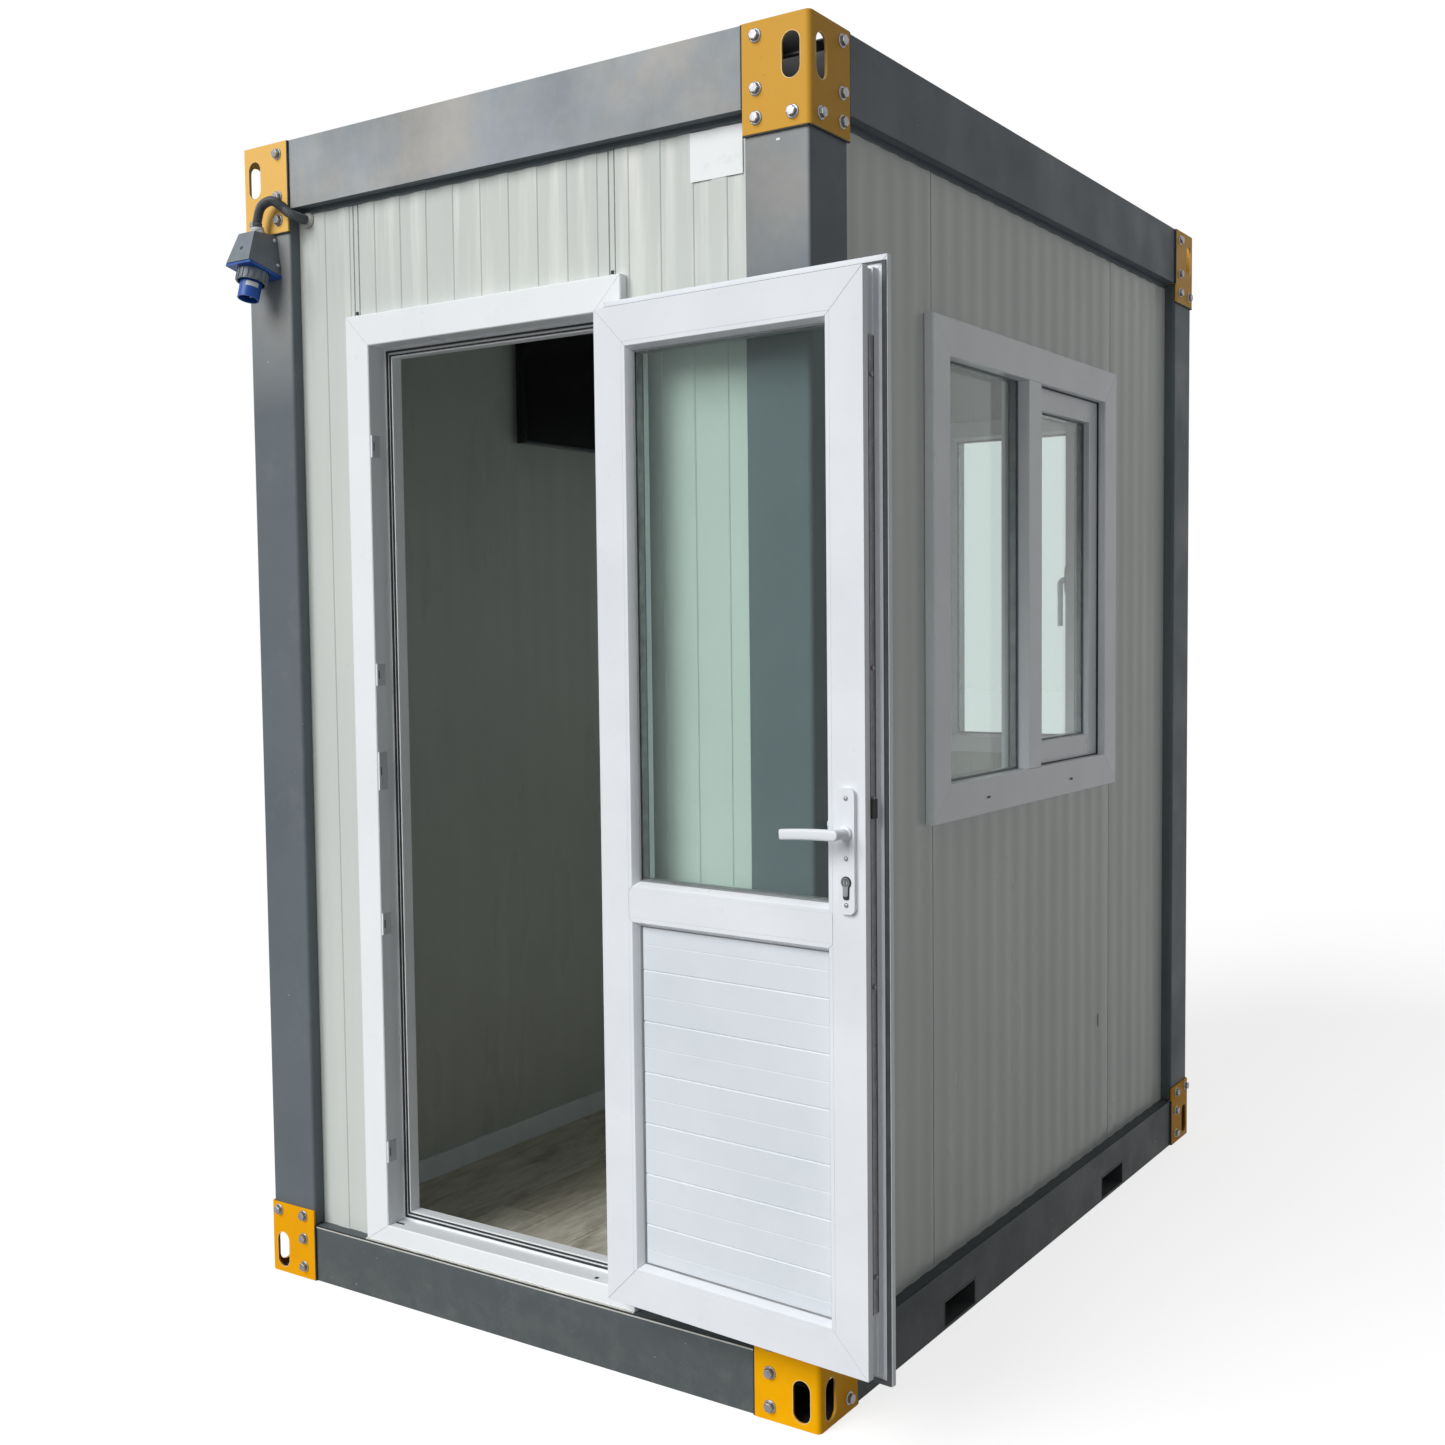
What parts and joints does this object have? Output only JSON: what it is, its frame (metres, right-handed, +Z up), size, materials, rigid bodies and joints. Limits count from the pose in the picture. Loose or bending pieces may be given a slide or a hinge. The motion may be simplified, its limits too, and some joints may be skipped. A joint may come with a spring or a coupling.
{
  "type": "security guard booth",
  "caption": "Small prefabricated guard booth: bolted steel frame with corner brackets, sandwich-panel walls, a half-glazed swinging door, windows and fork pockets.",
  "frame": {"origin": "on the ground under the middle of the floor frame", "axes": "+Z up, +Y from the door to the back wall, +X to the right seen from the door side"},
  "size_m": [1.6822, 2.3021, 2.6],
  "materials": {
    "steel_frame": "satin slate-grey paint",
    "wall_panel": "satin grey-white coated sheet",
    "roof_sheet": "galvanised and coated sheet",
    "frame_plastic": "smooth white extruded plastic",
    "bracket_paint": "gloss yellow paint",
    "zinc": "bright zinc",
    "glazing": "clear double glazing with a green tint",
    "floor_planks": "light oak planks",
    "skirting": "light grey skirting",
    "inlet_grey": "dark grey moulded plastic",
    "inlet_blue": "blue moulded plastic",
    "conduit": "corrugated dark grey plastic",
    "screen": "black screen and case"
  },
  "bodies": {
    "booth": {"front_sill": "steel_frame", "back_sill": "steel_frame", "left_sill": "steel_frame", "right_sill": "steel_frame", "fork_pockets": "steel_frame", "floor_joists": "steel_frame", "floor_deck": "floor_planks", "skirting": "skirting", "front_left_post": "steel_frame", "front_right_post": "steel_frame", "back_left_post": "steel_frame", "back_right_post": "steel_frame", "front_top_beam": "steel_frame", "back_top_beam": "steel_frame", "left_top_beam": "steel_frame", "right_top_beam": "steel_frame", "roof_panel": "wall_panel", "roof_sheet": "roof_sheet", "front_left_brackets": "bracket_paint", "front_right_brackets": "bracket_paint", "back_left_brackets": "bracket_paint", "back_right_brackets": "bracket_paint", "front_wall_left": "wall_panel", "front_wall_right": "wall_panel", "front_wall_over_door": "wall_panel", "right_wall_front": "wall_panel", "right_wall_rear": "wall_panel", "right_wall_window_bay": "wall_panel", "back_wall_left": "wall_panel", "back_wall_right": "wall_panel", "back_wall_window_bay": "wall_panel", "left_wall": "wall_panel", "door_frame": "frame_plastic", "strike_plates": "zinc", "hinge_frame_leaves": "frame_plastic", "side_window_frame": "frame_plastic", "back_window_frame": "frame_plastic", "window_sashes": "frame_plastic", "window_glass": "glazing", "window_beads": "frame_plastic", "window_handles": "frame_plastic", "inlet_housing": "inlet_grey", "inlet_plug": "inlet_blue", "conduit": "conduit", "wall_screen": "screen"},
    "door": {"door_sash": "frame_plastic", "door_glass": "glazing", "door_infill": "frame_plastic", "door_beads": "frame_plastic", "handle_plates": "frame_plastic", "door_lock": "zinc", "hinge_sash_leaves": "frame_plastic"},
    "lever": {"lever_handles": "frame_plastic"}
  },
  "joints": [
    {"name": "door_swing", "type": "hinge", "parent": "booth", "child": "door", "pos_m": [0.2725, -1.076, 0], "axis": [0, 0, 1], "range_deg": [-176, 0]},
    {"name": "handle_turn", "type": "hinge", "parent": "door", "child": "lever", "pos_m": [0.87714, -1.14535, 1.149], "axis": [-0.0698, -0.9976, 0], "range_deg": [0, 45], "stiffness_Nm_per_rad": 1, "springref_deg": -28.65}
  ]
}
